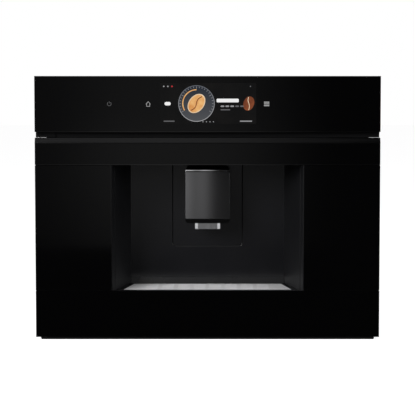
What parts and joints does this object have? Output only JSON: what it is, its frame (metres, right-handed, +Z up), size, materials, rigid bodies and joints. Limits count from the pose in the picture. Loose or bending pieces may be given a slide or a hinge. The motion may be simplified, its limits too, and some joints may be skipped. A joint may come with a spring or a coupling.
{
  "type": "built in coffee machine",
  "caption": "Built-in coffee machine: black glass front, side-hinged door with cup niche, height-adjustable outlet, drip grille, and tank, grinder and brew unit inside",
  "frame": {"origin": "on the resting plane, midway between the sides and between the front face of the door and the rear stand-offs", "axes": "+X right, +Y to the back, +Z up, as seen from the front"},
  "size_m": [0.594, 0.385, 0.455],
  "materials": {
    "black_glass": "glossy black printed glass",
    "black_metal": "satin black",
    "black_plastic": "fine grain",
    "niche_plastic": "satin dark grey",
    "head_plastic": "gloss",
    "grey_plastic": "moulded",
    "display_body": "display module",
    "clear_plastic": "clear moulded",
    "stainless": "brushed",
    "polished_steel": "ground",
    "screw_steel": "zinc plated",
    "zinc_steel": "galvanised sheet",
    "grip_metal": "black anodised",
    "chrome": "polished",
    "burr_ceramic": "ground ceramic",
    "brass_fitting": "turned",
    "cast_aluminium": "cast",
    "silicone": "translucent hose",
    "circuit_board": "solder mask",
    "bush_plastic": "acetal",
    "magnet": "sintered"
  },
  "bodies": {
    "chassis": {"base_plate": "zinc_steel", "base_strip": "black_metal", "bean_container": "clear_plastic", "bean_container_lid": "black_plastic", "brew_drive_motor": "black_metal", "brew_unit_housing": "grey_plastic", "control_panel_carrier": "black_plastic", "control_panel_glass": "black_glass", "display_module": "display_body", "drip_tray": "black_plastic", "fan_frame": "black_plastic", "front_frame": "black_metal", "grinder_housing": "grey_plastic", "grinder_motor": "zinc_steel", "grip_recess_profile": "black_metal", "grounds_container": "black_plastic", "guide_rods": "polished_steel", "hinge_brackets": "black_metal", "hinge_pins": "polished_steel", "left_side_panel": "zinc_steel", "magnet_catch": "magnet", "main_board": "circuit_board", "milk_container": "clear_plastic", "milk_container_lid": "black_plastic", "niche_back_wall": "niche_plastic", "niche_ceiling": "niche_plastic", "niche_floor": "niche_plastic", "niche_left_wall": "niche_plastic", "niche_right_wall": "niche_plastic", "outlet_slide_panel": "niche_plastic", "panel_screws": "screw_steel", "power_inlet": "black_plastic", "pump": "brass_fitting", "rear_panel": "zinc_steel", "right_side_panel": "zinc_steel", "thermoblock": "cast_aluminium", "top_cover": "zinc_steel", "upper_burr": "burr_ceramic", "water_hoses": "silicone", "water_tank": "clear_plastic", "water_tank_lid": "black_plastic"},
    "door": {"door_frame": "black_plastic", "door_striker_plate": "zinc_steel", "door_niche_lining": "niche_plastic", "door_band_glass": "black_glass", "door_left_glass": "black_glass", "door_right_glass": "black_glass", "door_bottom_glass": "black_glass", "door_grip_strip": "grip_metal", "hinge_bushes": "bush_plastic"},
    "outlet": {"outlet_housing": "head_plastic", "outlet_front_plate": "stainless", "outlet_trim_strip": "chrome", "spout_shroud": "chrome", "spout_nozzles": "black_plastic", "outlet_carriage": "black_plastic"},
    "grille": {"drip_grille": "stainless"},
    "piston": {"brew_piston": "grey_plastic"},
    "burr": {"lower_burr": "burr_ceramic"},
    "fan": {"fan_impeller": "black_plastic"}
  },
  "joints": [
    {"name": "door_hinge", "type": "hinge", "parent": "chassis", "child": "door", "pos_m": [-0.2895, -0.183, 0.17], "axis": [0, 0, -1], "range_deg": [0, 110]},
    {"name": "outlet_height", "type": "slide", "parent": "chassis", "child": "outlet", "axis": [0, 0, 1], "range_m": [-0.035, 0.05]},
    {"name": "grille_lift", "type": "slide", "parent": "chassis", "child": "grille", "axis": [0, 0, 1], "range_m": [0, 0.05]},
    {"name": "brew_piston_stroke", "type": "slide", "parent": "chassis", "child": "piston", "axis": [0, 0, 1], "range_m": [-0.03, 0]},
    {"name": "burr_spin", "type": "hinge", "parent": "chassis", "child": "burr", "pos_m": [0.226, 0.042, 0.21], "axis": [0, 0, 1], "continuous": true},
    {"name": "fan_spin", "type": "hinge", "parent": "chassis", "child": "fan", "pos_m": [0.15, 0.1723, 0.38], "axis": [0, 1, 0], "continuous": true}
  ]
}
